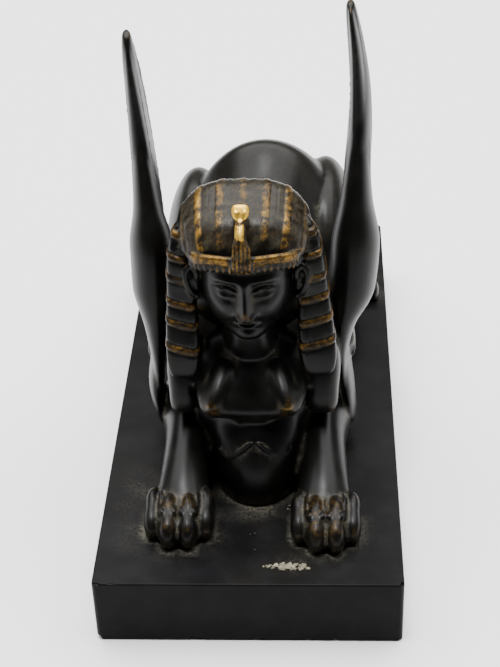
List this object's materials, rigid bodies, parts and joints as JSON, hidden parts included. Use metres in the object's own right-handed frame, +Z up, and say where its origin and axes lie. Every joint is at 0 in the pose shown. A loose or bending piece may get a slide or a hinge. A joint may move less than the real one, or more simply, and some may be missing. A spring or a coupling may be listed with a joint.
{
  "type": "sphinx statue",
  "caption": "Recumbent winged sphinx with a striped headcloth and rearing cobra, dark patinated bronze with worn gilding, on a black stone plinth.",
  "frame": {"origin": "centre of the plinth's underside", "axes": "+Z up; -Y the way the figure faces, so +Y runs along the plinth to the rump; +X to the right of a viewer who faces the figure"},
  "size_m": [0.076, 0.169, 0.1356],
  "materials": {
    "black_stone": "satin, dusty black stone",
    "patinated_bronze": "near-black waxed bronze patina with rubbed brown high spots and worn gilt lines"
  },
  "bodies": {
    "root": {"plinth": "black_stone", "sphinx": "patinated_bronze"}
  },
  "joints": []
}
